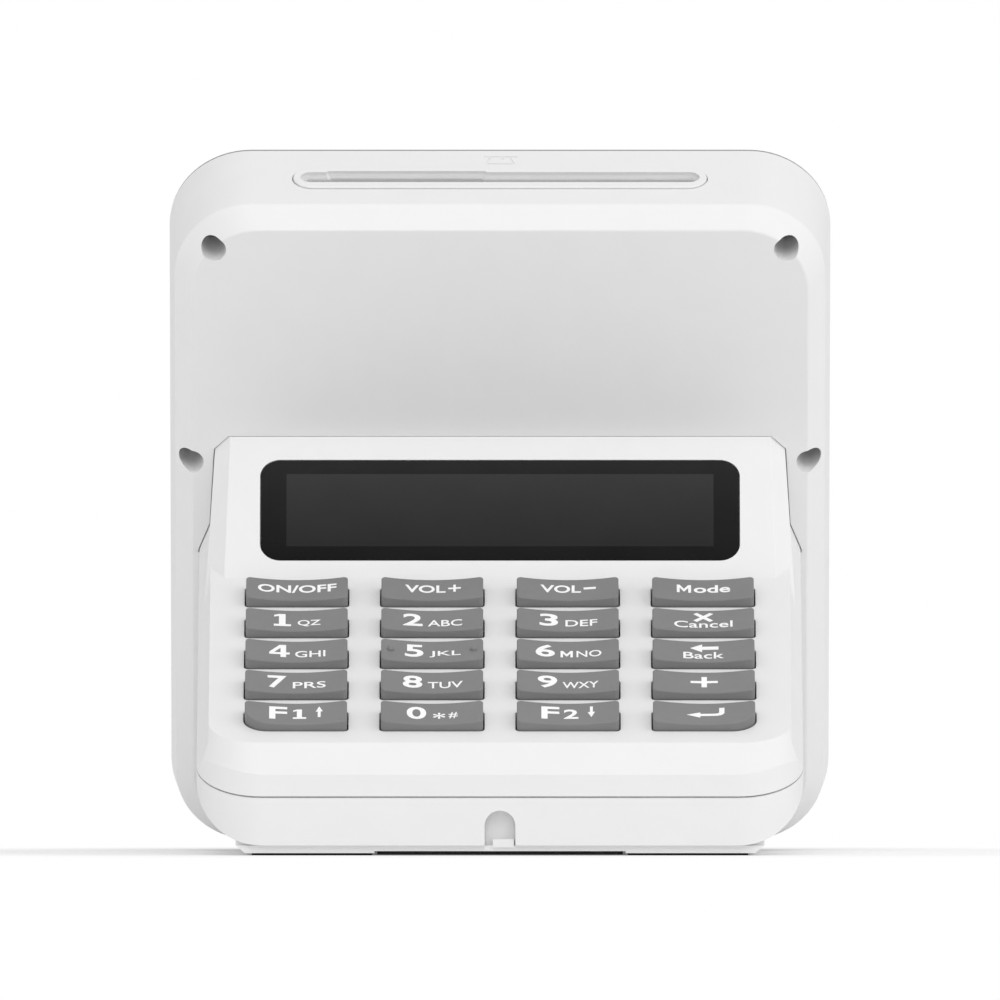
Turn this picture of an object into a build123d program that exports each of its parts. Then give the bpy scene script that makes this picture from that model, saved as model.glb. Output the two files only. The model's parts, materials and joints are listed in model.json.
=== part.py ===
from build123d import *
import os
from math import cos, radians, sin, tan

# Countertop keypad terminal: a head that leans over a wedge-shaped keypad base.
# +X is the operator's right, -Y faces the operator, +Z is up, and Z = 0 is the table.
# Lengths are millimetres, angles are degrees.

# Walls and clearances
WALL = 2.0
SEAM = 0.25              # shadow gap between the keypad cover and the base
FIT = 0.15               # clearance round a piece in its pocket

# Head. A section is (depth behind the operator face, half width, bottom, top, corner radius),
# with bottom and top measured up the leaning face from the table.
HEAD_TILT = 27.0
HEAD_SETBACK = 101.9     # front wall to where the operator face's plane meets the table
HEAD_FACE = (0.0, 46.55, 2.85, 105.4, 10.1)
HEAD_EDGE = (3.7, 49.15, -0.1, 108.0, 11.7)
HEAD_RIM = (20.4, 50.0, -7.1, 108.6, 12.4)      # its lower wall runs level, just clear of the table
HEAD_ROUND = 0.4         # softening of the head's edges
BEZEL_STEP = 0.5         # straight part of the customer bezel's rim
BEZEL_DEPTH = 4.0
BEZEL_TAPER = 2.4        # how far the bezel draws in behind its straight part
WELL_SITES = [(43.2, 102.1), (46.7, 66.2)]    # x and height up the face, both sides
WELL_RADIUS = 1.875
WELL_DEPTH = 9.0

# Keypad base and cover
BASE_HALF = 45.5
BASE_CORNER = 9.7        # in plan, and again on the lower side edges
BASE_BOTTOM = 1.5
POCKET_DEPTH = 0.9       # recess in the head that the cover's rear edge stands in
POCKET_GAP = 0.17
PLATE_SLOPE = 25.0
PLATE_FRONT = 2.2        # plate's front edge behind the front wall
PLATE_FRONT_HEIGHT = 16.9
PLATE_LENGTH = 58.1
PLATE_HALF = 43.7
PLATE_CORNER = 7.0
SEAM_DEPTH = 6.5         # seam plane below the plate
BEVEL_RUN = 1.175        # front bevel: forward travel per depth below the plate
SIDE_RUN = 0.29          # side facets: outward travel per depth
SIDE_KINK = (1.5, 6.1)   # side facets start and end at these depths

# Display block
BLOCK_SLOPE = 55.0
BLOCK_LENGTH = 26.0
BLOCK_HALF_LOW = 41.6
BLOCK_HALF_HIGH = 40.8
BLOCK_SHOULDER = 43.1    # side wall's half width at the top shoulder
BLOCK_SHOULDER_DROP = 2.0
BLOCK_SIDE_RUN = 0.063
BLOCK_ROUND = 0.3
WINDOW = (72.5, 18.6, 3.1)
WINDOW_RISE = 3.2        # block's lower edge to the window's lower edge
WINDOW_THICKNESS = 1.2
LCD_VIEW = (64.5, 13.3)

# Keys
KEY_OPENING = (15.8, 7.0, 0.8)
KEY_GAP = 0.23
KEY_PITCH_X = 20.4
KEY_PITCH_Y = 10.93
KEY_FIRST = 7.4          # plate's front edge to the middle of the front row
KEY_REAR_HEIGHT = 2.16
KEY_FRONT_HEIGHT = 1.78
KEY_ROUND = 0.2
KEY_DISH_RADIUS = 50.0
KEY_FLANGE = (16.9, 8.1)
KEY_FLANGE_TOP = 2.1     # below the plate's surface
KEY_FLANGE_THICKNESS = 0.8
KEY_TRAVEL = 0.8
MAT_CLEARANCE = 0.1      # fully pressed key to the mat's pad
KEY_CORNER_ROUND = 3.8   # outer front corners of the two front corner keys
KEY_NAMES = [
    ["key_f1", "key_0", "key_f2", "key_enter"],
    ["key_7", "key_8", "key_9", "key_plus"],
    ["key_4", "key_5", "key_6", "key_back"],
    ["key_1", "key_2", "key_3", "key_cancel"],
    ["key_on_off", "key_volume_up", "key_volume_down", "key_mode"],
]
BOARD_DEPTH = 5.6        # keypad board's upper face below the plate
BOARD_THICKNESS = 1.6

# Card slot in the head's top wall
SLOT_DEPTH = 11.6        # slot's middle behind the operator face
SLOT_INSERT = (62.5, 6.2)
SLOT_PROUD = 0.3
SLOT_MOUTH = (60.3, 3.1)
SLOT_STEP = (-26.3, -2.0, 0.36)       # x from, x to, extra width for an embossed card
CARD = (54.0, 0.76)

# Underside
PLATEAU_HALF = 39.6
PLATEAU_TAPER = 1.4
PLATEAU_INNER = 18.8
PLATEAU_LOW = 0.35
CENTRE_LOW = 0.65
ARCH_WIDTH = 4.6
ARCH_TOP = 6.7

# Worked out from the above
TILT = radians(HEAD_TILT)
SLOPE = radians(PLATE_SLOPE)
BEZEL_BACK = HEAD_RIM[0] + BEZEL_DEPTH
BEZEL_LOW = HEAD_RIM[2] + BEZEL_TAPER
TOTAL_DEPTH = HEAD_SETBACK - BEZEL_LOW * sin(TILT) + BEZEL_BACK * cos(TILT)
FRONT_Y = -TOTAL_DEPTH / 2
HEAD_Y = FRONT_Y + HEAD_SETBACK
BIG = 300.0

# Working planes: x is the operator's right, y runs up the slope, z points out at the operator
HEAD = Plane(origin=(0, HEAD_Y, 0), x_dir=(1, 0, 0), z_dir=(0, -cos(TILT), -sin(TILT)))
PLATE = Plane(origin=(0, FRONT_Y + PLATE_FRONT, PLATE_FRONT_HEIGHT), x_dir=(1, 0, 0),
              z_dir=(0, -sin(SLOPE), cos(SLOPE)))
BLOCK_FOOT = PLATE.from_local_coords(Vector(0, PLATE_LENGTH, 0))
BLOCK_ANGLE = radians(BLOCK_SLOPE)
BLOCK = Plane(origin=BLOCK_FOOT, x_dir=(1, 0, 0), z_dir=(0, -sin(BLOCK_ANGLE), cos(BLOCK_ANGLE)))


# ---- Helpers ----

def slab(plane, outline, low, high):
    """Extrude an outline between two heights above a plane."""
    return extrude(plane.offset(low) * outline, amount=high - low)


def rectangle(width, height, radius=0.0):
    if radius > 0:
        return RectangleRounded(width, height, radius)
    return Rectangle(width, height)


def half_space(point, normal):
    """Everything behind a plane through a point, seen from the side its normal points to."""
    plane = Plane(origin=point, z_dir=normal)
    return plane * Pos(0, 0, -BIG / 2) * Box(BIG, BIG, BIG)


def below(plane, height=0.0):
    return half_space(plane.from_local_coords(Vector(0, 0, height)), plane.z_dir)


def above(plane, height=0.0):
    return half_space(plane.from_local_coords(Vector(0, 0, height)), plane.z_dir * -1)


def head_section(depth, half_width, low, high, radius, inset=0.0):
    outline = RectangleRounded(2 * (half_width - inset), high - low - 2 * inset, radius - 0.6 * inset)
    return HEAD.offset(-depth) * Pos(0, (low + high) / 2) * outline


def cylinder_between(plane, x, y, radius, low, high):
    return slab(plane, Pos(x, y) * Circle(radius), low, high)


def group(solids):
    return Compound(children=[s for piece in solids for s in piece.solids()])


def both_sides(sites):
    return [(side * x, y) for x, y in sites for side in (-1, 1)]


def screw(plane, x, y, seat, shaft_length, shaft_radius, head_radius, head_height):
    """A cross-head screw. Its head stands on seat, and its shaft goes the other way from the plane."""
    head = cylinder_between(plane, x, y, head_radius, seat, seat + head_height)
    shaft = cylinder_between(plane, x, y, shaft_radius, seat - shaft_length, seat)
    recess = Sketch() + Rectangle(head_radius, 0.35) + Rectangle(0.35, head_radius)
    return head + shaft - slab(plane, Pos(x, y) * recess, seat + 0.4 * head_height, seat + head_height)


# ---- Head ----

def at_height(edges, plane, height):
    """Edges that lie at one height above a plane."""
    found = []
    for edge in edges:
        heights = [plane.to_local_coords(edge.position_at(t)).Z for t in (0, 0.5, 1)]
        if all(abs(z - height) < 0.01 for z in heights):
            found.append(edge)
    return found


def head_outer():
    outer = loft([head_section(*HEAD_FACE), head_section(*HEAD_EDGE), head_section(*HEAD_RIM)], ruled=True)
    edges = at_height(outer.edges(), HEAD, 0) + at_height(outer.edges(), HEAD, -HEAD_EDGE[0])
    return fillet(edges, HEAD_ROUND)


def head_cavity():
    depth_face = WALL + 0.2
    depth_edge = HEAD_EDGE[0] + 0.8
    sections = [
        head_section(depth_face, *HEAD_FACE[1:], inset=0.6),
        head_section(depth_edge, *HEAD_EDGE[1:], inset=WALL),
        head_section(*HEAD_RIM, inset=WALL),
        head_section(HEAD_RIM[0] + 5, *HEAD_RIM[1:], inset=WALL),
    ]
    return loft(sections, ruled=True)


MAIN_BOARD_SITES = both_sides([(37.5, 13.0), (37.5, 93.0)])
MAIN_BOARD_FRONT = 15.6          # main board's operator side behind the face


def head_shell(outer):
    shell = outer - head_cavity()
    for x, y in both_sides(WELL_SITES):
        boss = cylinder_between(HEAD, x, y, WELL_RADIUS + 1.4, -HEAD_RIM[0], -1.0)
        shell += boss & outer
    for x, y in MAIN_BOARD_SITES:
        shell += cylinder_between(HEAD, x, y, 2.4, -MAIN_BOARD_FRONT, -1.0)
    return shell


def head_bores():
    """Screw wells from the operator side, with a clearance hole through each floor."""
    bores = []
    for x, y in both_sides(WELL_SITES):
        bores.append(cylinder_between(HEAD, x, y, WELL_RADIUS, -WELL_DEPTH, 5))
        bores.append(cylinder_between(HEAD, x, y, 0.95, -HEAD_RIM[0] - 1, -WELL_DEPTH))
    for x, y in MAIN_BOARD_SITES:
        bores.append(cylinder_between(HEAD, x, y, 0.82, -MAIN_BOARD_FRONT - 1, -MAIN_BOARD_FRONT + 7))
    return bores


# The top wall has a little draft, so the slot's plane lies in it, z pointing out of the head
SLOT_DRAFT = (HEAD_RIM[3] - HEAD_EDGE[3]) / (HEAD_RIM[0] - HEAD_EDGE[0])
SLOT_HEIGHT = HEAD_EDGE[3] + SLOT_DRAFT * (SLOT_DEPTH - HEAD_EDGE[0])
DEPTH_DIR = Vector(0, cos(TILT), sin(TILT))
UP_DIR = Vector(0, -sin(TILT), cos(TILT))
SLOT = Plane(origin=HEAD.from_local_coords(Vector(0, SLOT_HEIGHT, -SLOT_DEPTH)), x_dir=(1, 0, 0),
             z_dir=UP_DIR - DEPTH_DIR * SLOT_DRAFT)


def stadium(length, width):
    return SlotOverall(length, width)


def pictogram():
    """A plain card dropping through a slot line, as shallow engraved strokes."""
    stroke = 0.28
    rim_edge = (HEAD_RIM[0] - SLOT_DEPTH)

    def line(start, end):
        path = Vector(*end) - Vector(*start)
        centre = (Vector(*start) + Vector(*end)) * 0.5
        angle = Vector(1, 0, 0).get_signed_angle(path, Vector(0, 0, 1))
        return Pos(centre.X, centre.Y) * Rot(0, 0, angle) * Rectangle(path.length + stroke, stroke)

    slot_line = rim_edge - 1.9
    card_top = rim_edge - 2.5
    card_low = rim_edge - 4.1
    strokes = Sketch() + line((-2.3, slot_line), (2.5, slot_line))
    strokes += line((-1.6, card_top), (-2.0, card_low))
    strokes += line((-2.0, card_low), (2.1, card_low))
    strokes += line((2.1, card_low), (1.6, card_top))
    strokes += line((0.2, card_top), (0.5, card_top))
    return slab(SLOT, strokes, -0.12, 1.0)


# ---- Base ----

def base_plan(inset):
    depth = HEAD_Y + 40 - FRONT_Y
    outline = rectangle(2 * (BASE_HALF - inset), depth, BASE_CORNER - 0.7 * inset)
    return slab(Plane.XY, Pos(0, FRONT_Y + inset + depth / 2) * outline, -5, 120)


def base_profile(inset):
    """Full-length bar whose lower side edges are rounded."""
    height = 120
    outline = rectangle(2 * (BASE_HALF - inset), height, BASE_CORNER - 0.7 * inset)
    plane = Plane(origin=(0, -BIG / 2, 0), x_dir=(1, 0, 0), z_dir=(0, -1, 0))
    return extrude(plane * Pos(0, BASE_BOTTOM + inset + height / 2) * outline, amount=-BIG)


COVER_SCREW_FRONT = (KEY_PITCH_X, FRONT_Y + 13.8)
COVER_SCREW_REAR = (36.6, FRONT_Y + 62.0)
COVER_SCREW_SITES = both_sides([COVER_SCREW_FRONT, COVER_SCREW_REAR])
COVER_BOSS_FOOT = 12.0
COVER_BOSS_RADIUS = 1.6
PLATE_SCREW_SITES = both_sides([(29.0, FRONT_Y + 19.0), (29.0, FRONT_Y + 84.0)])
CABLE_WELL = (24.0, 22.0, 6.6)           # width, length and height of the cable well
CABLE_WELL_WALL = 1.2


def base_shell():
    seam = -SEAM_DEPTH - SEAM / 2
    outer = base_plan(0) & base_profile(0) & below(PLATE, seam) & above(HEAD, -0.8)
    inner = base_plan(WALL) & base_profile(WALL) & above(HEAD, 0.0)
    lip_inset = WALL + 0.6
    inner_side = base_plan(lip_inset) & base_profile(lip_inset) & above(HEAD, 2.0)
    lip = inner_side & below(PLATE, -4.8)
    lip -= base_plan(lip_inset + 0.8)
    lip = lip & above(PLATE, seam - 1.5)
    shell = outer - inner
    rib = base_plan(WALL - 0.5) & base_profile(WALL - 0.5) & above(HEAD, 2.0)
    rib = rib & below(PLATE, seam - 0.5) & above(PLATE, seam - 1.5)
    return shell + lip + (rib - base_plan(lip_inset + 0.8))


def arch(width, top, back):
    """Arched cable outlet, open at the bottom."""
    radius = width / 2
    outline = Pos(0, (top - radius) / 2) * Rectangle(width, top - radius)
    outline += Pos(0, top - radius) * Circle(radius)
    plane = Plane(origin=(0, FRONT_Y - 1, 0), x_dir=(1, 0, 0), z_dir=(0, -1, 0))
    return extrude(plane * outline, amount=-(back + 1))


def cable_well(inset):
    width, length, height = CABLE_WELL
    front_low = (Align.CENTER, Align.MIN, Align.MIN)
    box = Box(width + 2 * inset, length + 2 * inset, height + inset, align=front_low)
    return Pos(0, FRONT_Y + WALL - inset, BASE_BOTTOM) * box


def main_housing():
    outer = head_outer()
    housing = head_shell(outer) + base_shell()
    housing += cable_well(CABLE_WELL_WALL) & base_plan(0.5) & below(PLATE, -SEAM_DEPTH - 0.5)
    floor_top = BASE_BOTTOM + WALL
    for x, y in COVER_SCREW_SITES:
        housing += Pos(x, y, COVER_BOSS_FOOT / 2) * Cylinder(3.0, COVER_BOSS_FOOT) & base_profile(0)
    for x, y in PLATE_SCREW_SITES:
        housing += Pos(x, y, (BASE_BOTTOM + floor_top + 4) / 2) * Cylinder(2.4, floor_top + 4 - BASE_BOTTOM)
    plinth = Box(2 * PLATEAU_HALF, 94.0, 1.2, align=(Align.CENTER, Align.MIN, Align.MIN))
    housing += Pos(0, FRONT_Y + 1.2, BASE_BOTTOM) * plinth
    housing -= cable_well(0)
    housing -= arch(ARCH_WIDTH, ARCH_TOP, WALL + 0.5)
    housing -= cover_outer(-POCKET_GAP) & above(HEAD, -POCKET_DEPTH) & above(PLATE, -SEAM_DEPTH - SEAM / 2)
    for bore in head_bores():
        housing -= bore
    for x, y in COVER_SCREW_SITES:
        housing -= Pos(x, y, 1.5) * Cylinder(2.1, 3.0)
        housing -= Pos(x, y, 8) * Cylinder(1.2, 12)
    for x, y in PLATE_SCREW_SITES:
        housing -= Pos(x, y, 3.0) * Cylinder(0.82, 7.0)
    housing -= slab(HEAD, Pos(0, 26) * Rectangle(56, 30), -4, 2)
    length, width = SLOT_INSERT
    housing -= slab(SLOT, stadium(length + 2 * FIT, width + 2 * FIT), -4.5, 3)
    housing -= pictogram()
    return housing


# ---- Keypad cover ----

def tapered_plate(depth_top, depth_bottom, inset):
    sections = []
    for depth in (depth_top, depth_bottom):
        half = PLATE_HALF + SIDE_RUN * depth - inset
        front = -BEVEL_RUN * depth + 1.1 * inset
        radius = PLATE_CORNER + 0.4 * depth - 0.5 * inset
        rear = PLATE_LENGTH + 60
        outline = Pos(0, (front + rear) / 2) * RectangleRounded(2 * half, rear - front, radius)
        sections.append(PLATE.offset(-depth) * outline)
    return loft(sections, ruled=True)


def side_facets(inset):
    """Bar along the slope whose side walls kink outwards below the plate."""
    kink_top, kink_low = SIDE_KINK
    half = PLATE_HALF - inset
    wide = BASE_HALF - inset
    right = [(half, 30), (half, -kink_top), (wide, -kink_low), (wide, -30)]
    points = right + [(-x, z) for x, z in reversed(right)]
    section = make_face(Polyline(*points, close=True))
    plane = Plane(origin=PLATE.from_local_coords(Vector(0, -60, 0)), x_dir=(1, 0, 0),
                  z_dir=PLATE.y_dir * -1)
    return extrude(plane * section, amount=-BIG)


def block_side_plane(side, inset):
    """Facet from the display face's edge back to the shoulder on the head's face."""
    low = BLOCK.from_local_coords(Vector(side * BLOCK_HALF_LOW, 0, 0))
    high = BLOCK.from_local_coords(Vector(side * BLOCK_HALF_HIGH, BLOCK_LENGTH, 0))
    shoulder_z = high.Z - BLOCK_SHOULDER_DROP
    shoulder = Vector(side * BLOCK_SHOULDER, high.Y + BLOCK_SHOULDER_DROP * tan(TILT), shoulder_z)
    normal = (high - low).cross(shoulder - low).normalized()
    if normal.X * side < 0:
        normal = normal * -1
    return half_space(low - normal * inset, normal)


def display_block(inset):
    top = BLOCK.from_local_coords(Vector(0, BLOCK_LENGTH, 0))
    depth_at_top = top.Y + 0.2
    profile = [
        (BLOCK_FOOT.Y - 8, BLOCK_FOOT.Z - 12),
        (BLOCK_FOOT.Y, BLOCK_FOOT.Z),
        (depth_at_top, top.Z + 0.2 * tan(BLOCK_ANGLE)),
        (depth_at_top + 16 * tan(TILT) + 4, top.Z - 14.5),
    ]
    plane = Plane(origin=(-60, 0, 0), x_dir=(0, 1, 0), z_dir=(1, 0, 0))
    block = extrude(plane * make_face(Polyline(*profile, close=True)), amount=120)
    block = block & below(BLOCK, -inset) & above(PLATE, -4.5)
    for side in (-1, 1):
        block = block & block_side_plane(side, inset)
        lean = Vector(side, 0, BLOCK_SIDE_RUN)
        shoulder_z = top.Z - BLOCK_SHOULDER_DROP
        block = block & half_space(Vector(side * (BLOCK_SHOULDER - inset), 0, shoulder_z), lean)
    return block


def key_place(row, column):
    x = (column - 1.5) * KEY_PITCH_X
    return Pos(x, KEY_FIRST + row * KEY_PITCH_Y)


def key_outline(row, column, width, length, radius, corner):
    """Rounded key shape. The two front corner keys have a large outer front corner."""
    outline = rectangle(width, length, radius)
    if row == 0 and column in (0, 3):
        side = -1 if column == 0 else 1
        reach = corner
        square = Pos(side * (width - reach) / 2, -(length - reach) / 2) * Rectangle(reach, reach)
        disc = Pos(side * (width / 2 - reach), -(length / 2 - reach)) * Circle(reach)
        outline = outline - square + (square & disc)
    return key_place(row, column) * outline


def window_place():
    return Pos(0, WINDOW_RISE + WINDOW[1] / 2)


def cover_outer(inset):
    wedge = tapered_plate(0, 10, inset) & side_facets(inset) & base_plan(inset)
    return wedge + display_block(inset)


KEYPAD_BOARD_SITES = [(0, 12.85), (0, 45.65), (-KEY_PITCH_X, 45.65), (KEY_PITCH_X, 45.65)]


def keypad_cover():
    bottom = -SEAM_DEPTH + SEAM / 2
    outer = cover_outer(0)
    face_edges = at_height(outer.edges(), BLOCK, 0)
    raised = [edge for edge in face_edges if BLOCK.to_local_coords(edge.position_at(0.5)).Y > BLOCK_ROUND]
    outer = fillet(raised, BLOCK_ROUND)
    inner_wedge = tapered_plate(WALL, 12, WALL) & side_facets(WALL) & base_plan(WALL)
    inner = inner_wedge + display_block(WALL)
    cover = (outer & above(PLATE, bottom)) - inner
    for x, y in COVER_SCREW_SITES:
        boss = Pos(x, y, COVER_BOSS_FOOT + 0.1 + 30) * Cylinder(COVER_BOSS_RADIUS, 60)
        cover += boss & (outer + below(PLATE, -1))
    for x, y in KEYPAD_BOARD_SITES:
        cover += cylinder_between(PLATE, x, y, 1.6, -BOARD_DEPTH, -1)
    cover = cover & above(HEAD, FIT - POCKET_DEPTH)
    for row in range(5):
        for column in range(4):
            opening = key_outline(row, column, *KEY_OPENING, KEY_CORNER_ROUND)
            cover -= slab(PLATE, opening, -WALL - 0.5, 3)
    cover -= slab(BLOCK, window_place() * rectangle(*WINDOW), -WINDOW_THICKNESS - 0.05, 2)
    cover -= slab(BLOCK, window_place() * rectangle(LCD_VIEW[0] + 1, LCD_VIEW[1] + 1, 0.5), -4, 2)
    for x, y in COVER_SCREW_SITES:
        cover -= Pos(x, y, COVER_BOSS_FOOT + 3.5) * Cylinder(0.85, 7.4)
    for x, y in KEYPAD_BOARD_SITES:
        cover -= cylinder_between(PLATE, x, y, 0.72, -BOARD_DEPTH - 1, -WALL - 0.6)
    return cover


# ---- Keys ----

def top_edges(cap):
    """Edges round a key's dished top."""
    lowest_top = 0.3
    found = []
    for edge in cap.edges():
        heights = [PLATE.to_local_coords(edge.position_at(t)).Z for t in (0, 0.5, 1)]
        if min(heights) > lowest_top:
            found.append(edge)
    return found


def key_cap(row, column):
    width = KEY_OPENING[0] - 2 * KEY_GAP
    length = KEY_OPENING[1] - 2 * KEY_GAP
    corner = KEY_CORNER_ROUND - KEY_GAP
    outline = key_outline(row, column, width, length, KEY_OPENING[2] - 0.1, corner)
    cap = slab(PLATE, outline, -KEY_FLANGE_TOP - 0.2, 3.0)
    place = key_place(row, column).position
    rise = KEY_REAR_HEIGHT - KEY_FRONT_HEIGHT
    tilt = Vector(0, length, rise).normalized()
    half = width / 2
    sag = KEY_DISH_RADIUS - (KEY_DISH_RADIUS ** 2 - half ** 2) ** 0.5
    middle = (KEY_REAR_HEIGHT + KEY_FRONT_HEIGHT) / 2 - sag
    axis_foot = Vector(place.X, place.Y, middle + KEY_DISH_RADIUS)
    origin = PLATE.from_local_coords(axis_foot)
    direction = PLATE.y_dir * tilt.Y + PLATE.z_dir * tilt.Z
    dish_plane = Plane(origin=origin, x_dir=(1, 0, 0), z_dir=direction)
    cap -= dish_plane * Cylinder(KEY_DISH_RADIUS, 60)
    cap = fillet(top_edges(cap), KEY_ROUND)
    low = -KEY_FLANGE_TOP - KEY_FLANGE_THICKNESS
    flange = key_place(row, column) * rectangle(*KEY_FLANGE, 0.6)
    cap += slab(PLATE, flange, low, -KEY_FLANGE_TOP)
    if KEY_NAMES[row][column] == "key_5":
        cap += tactile_bumps(place, middle)
    return cap


def tactile_bumps(place, middle):
    reach = 6.25
    radius = 0.55
    sunk = 0.1
    bumps = Part()
    for side in (-1, 1):
        x = side * reach
        lift = KEY_DISH_RADIUS - (KEY_DISH_RADIUS ** 2 - x ** 2) ** 0.5
        centre = PLATE.from_local_coords(Vector(place.X + x, place.Y, middle + lift - sunk))
        bumps += Pos(centre.X, centre.Y, centre.Z) * Sphere(radius)
    return bumps


# ---- Keypad electronics ----

BOARD_HALF = 39.8
BOARD_FROM = 3.2
BOARD_TO = 57.0


def board_outline(margin=0.0):
    length = BOARD_TO - BOARD_FROM - 2 * margin
    return Pos(0, (BOARD_TO + BOARD_FROM) / 2) * rectangle(2 * (BOARD_HALF - margin), length, 2.0)


def cover_boss_holes(radius):
    """Vertical holes that let the front cover bosses pass."""
    x, y = COVER_SCREW_FRONT
    return [Pos(side * x, y, 30) * Cylinder(radius, 60) for side in (-1, 1)]


def keypad_mat():
    """Silicone mat with a low pad under each key, clear of the key when it is fully pressed."""
    mat = slab(PLATE, board_outline(0.4), -4.7, -3.9)
    pad_top = -KEY_FLANGE_TOP - KEY_FLANGE_THICKNESS - KEY_TRAVEL - MAT_CLEARANCE
    for row in range(5):
        for column in range(4):
            mat += slab(PLATE, key_place(row, column) * rectangle(11.0, 4.6, 1.5), -4.0, pad_top)
    for x, y in KEYPAD_BOARD_SITES:
        mat -= cylinder_between(PLATE, x, y, 1.9, -8, 0)
    for hole in cover_boss_holes(2.2):
        mat -= hole
    return mat


def keypad_pcb():
    board = slab(PLATE, board_outline(), -BOARD_DEPTH - BOARD_THICKNESS, -BOARD_DEPTH)
    for x, y in KEYPAD_BOARD_SITES:
        board -= cylinder_between(PLATE, x, y, 0.95, -9, 0)
    for hole in cover_boss_holes(2.2):
        board -= hole
    return board


def dome_contacts():
    domes = []
    for row in range(5):
        for column in range(4):
            place = key_place(row, column)
            outer = slab(PLATE, place * Circle(2.4), -BOARD_DEPTH, -BOARD_DEPTH + 0.3)
            domes.append(outer + slab(PLATE, place * Circle(1.5), -BOARD_DEPTH + 0.3, -BOARD_DEPTH + 0.45))
    return group(domes)


def keypad_pcb_screws():
    under = PLATE.offset(-BOARD_DEPTH - BOARD_THICKNESS)
    down = Plane(origin=under.origin, x_dir=(1, 0, 0), z_dir=under.z_dir * -1)
    return group([screw(down, x, -y, 0, 4.4, 0.7, 1.5, 1.0) for x, y in KEYPAD_BOARD_SITES])


# ---- Operator display ----

def operator_window():
    width, height, radius = WINDOW
    outline = window_place() * rectangle(width - 2 * FIT, height - 2 * FIT, radius - FIT)
    return slab(BLOCK, outline, -WINDOW_THICKNESS, 0.0)


def operator_lcd():
    return slab(BLOCK, window_place() * rectangle(LCD_VIEW[0] + 3.4, LCD_VIEW[1] + 3.4, 0.4), -3.7, -2.05)


def lcd_holder():
    tray = slab(BLOCK, window_place() * rectangle(LCD_VIEW[0] + 4.6, LCD_VIEW[1] + 4.8, 0.5), -5.3, -2.1)
    pocket = window_place() * rectangle(LCD_VIEW[0] + 3.6, LCD_VIEW[1] + 3.6, 0.4)
    return tray - slab(BLOCK, pocket, -3.75, -1.5)


def display_flex():
    """Flat cable from the display holder's lower side to the keypad board."""
    width = 14.0
    thickness = 0.25
    start = BLOCK.from_local_coords(Vector(0, 9.0, -5.45))
    end = PLATE.from_local_coords(Vector(0, 52.0, -BOARD_DEPTH - BOARD_THICKNESS - 0.15))
    bend = Vector(0, end.Y + 9.5, end.Z + 0.5)
    plane = Plane(origin=(-width / 2, 0, 0), x_dir=(0, 1, 0), z_dir=(1, 0, 0))
    points = [(start.Y, start.Z), (bend.Y, bend.Z), (end.Y, end.Z)]
    path = Polyline(*points)
    strip = offset(path, amount=thickness / 2, kind=Kind.INTERSECTION, side=Side.BOTH, closed=True)
    return extrude(plane * make_face(strip.edges()), amount=width)


# ---- Head electronics ----

def main_pcb():
    board = slab(HEAD, Pos(0, 53) * rectangle(84, 90, 3), -MAIN_BOARD_FRONT - 1.6, -MAIN_BOARD_FRONT)
    for x, y in MAIN_BOARD_SITES:
        board -= cylinder_between(HEAD, x, y, 1.0, -20, 0)
    return board


def main_pcb_screws():
    behind = Plane(origin=HEAD.from_local_coords(Vector(0, 0, -MAIN_BOARD_FRONT - 1.6)), x_dir=(-1, 0, 0),
                   z_dir=HEAD.z_dir * -1)
    return group([screw(behind, -x, y, 0, 7.0, 0.8, 1.7, 1.1) for x, y in MAIN_BOARD_SITES])


READER_FRONT = 8.2
READER_BACK = 15.3
READER_LOW = 50.0
READER_TOP = 103.0


def reader_plane():
    return Pos(0, (READER_LOW + READER_TOP) / 2)


def card_reader_body():
    """Housing with a card-wide channel, open at the top."""
    body = slab(HEAD, reader_plane() * rectangle(64, READER_TOP - READER_LOW, 1), -READER_BACK, -READER_FRONT)
    gap = CARD[1] + 0.6
    channel = Pos(0, READER_LOW + 3 + 40) * Rectangle(CARD[0] + 1, 80)
    body -= slab(HEAD, channel, -SLOT_DEPTH - gap / 2, -SLOT_DEPTH + gap / 2)
    body -= slab(HEAD, Pos(0, 62) * rectangle(18, 14, 1), -SLOT_DEPTH - 2.2, -SLOT_DEPTH)
    return body


def card_reader_contacts():
    """Eight sprung blades in the pocket beside the card channel."""
    blades = []
    for column in range(4):
        for row in range(2):
            x = (column - 1.5) * 2.54
            y = 62 + (row - 0.5) * 6.0
            blade = Pos(x, y) * Rectangle(1.2, 4.0)
            blades.append(slab(HEAD, blade, -SLOT_DEPTH - 1.9, -SLOT_DEPTH - 1.2))
    return group(blades)


def card_slot_bezel():
    length, width = SLOT_INSERT
    mouth_length, mouth_width = SLOT_MOUTH
    low = -4.2
    bezel = slab(SLOT, stadium(length, width), low, SLOT_PROUD)
    bezel = fillet(bezel.faces().sort_by(Axis(SLOT.origin, SLOT.z_dir))[-1].edges(), 0.25)
    step_from, step_to, step_width = SLOT_STEP
    step_middle = (step_from + step_to) / 2

    def mouth(shrink):
        slot = stadium(mouth_length - 2 * shrink, mouth_width - 2 * shrink)
        step = rectangle(step_to - step_from - 2 * shrink, mouth_width - 2 * shrink, 0.5)
        return slot + Pos(step_middle, step_width) * step

    lip = 0.5
    funnel_depth = 1.1
    bezel -= slab(SLOT, mouth(0), SLOT_PROUD - lip, SLOT_PROUD + 1)
    steps = 4
    for index in range(steps):
        high = SLOT_PROUD - lip - (funnel_depth - lip) * index / steps
        shrink = 0.45 * (index + 0.5) / steps
        bezel -= slab(SLOT, mouth(shrink), high - (funnel_depth - lip) / steps, high)
    bezel -= slab(SLOT, mouth(0.45), low - 1, SLOT_PROUD - funnel_depth)
    return bezel


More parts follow.
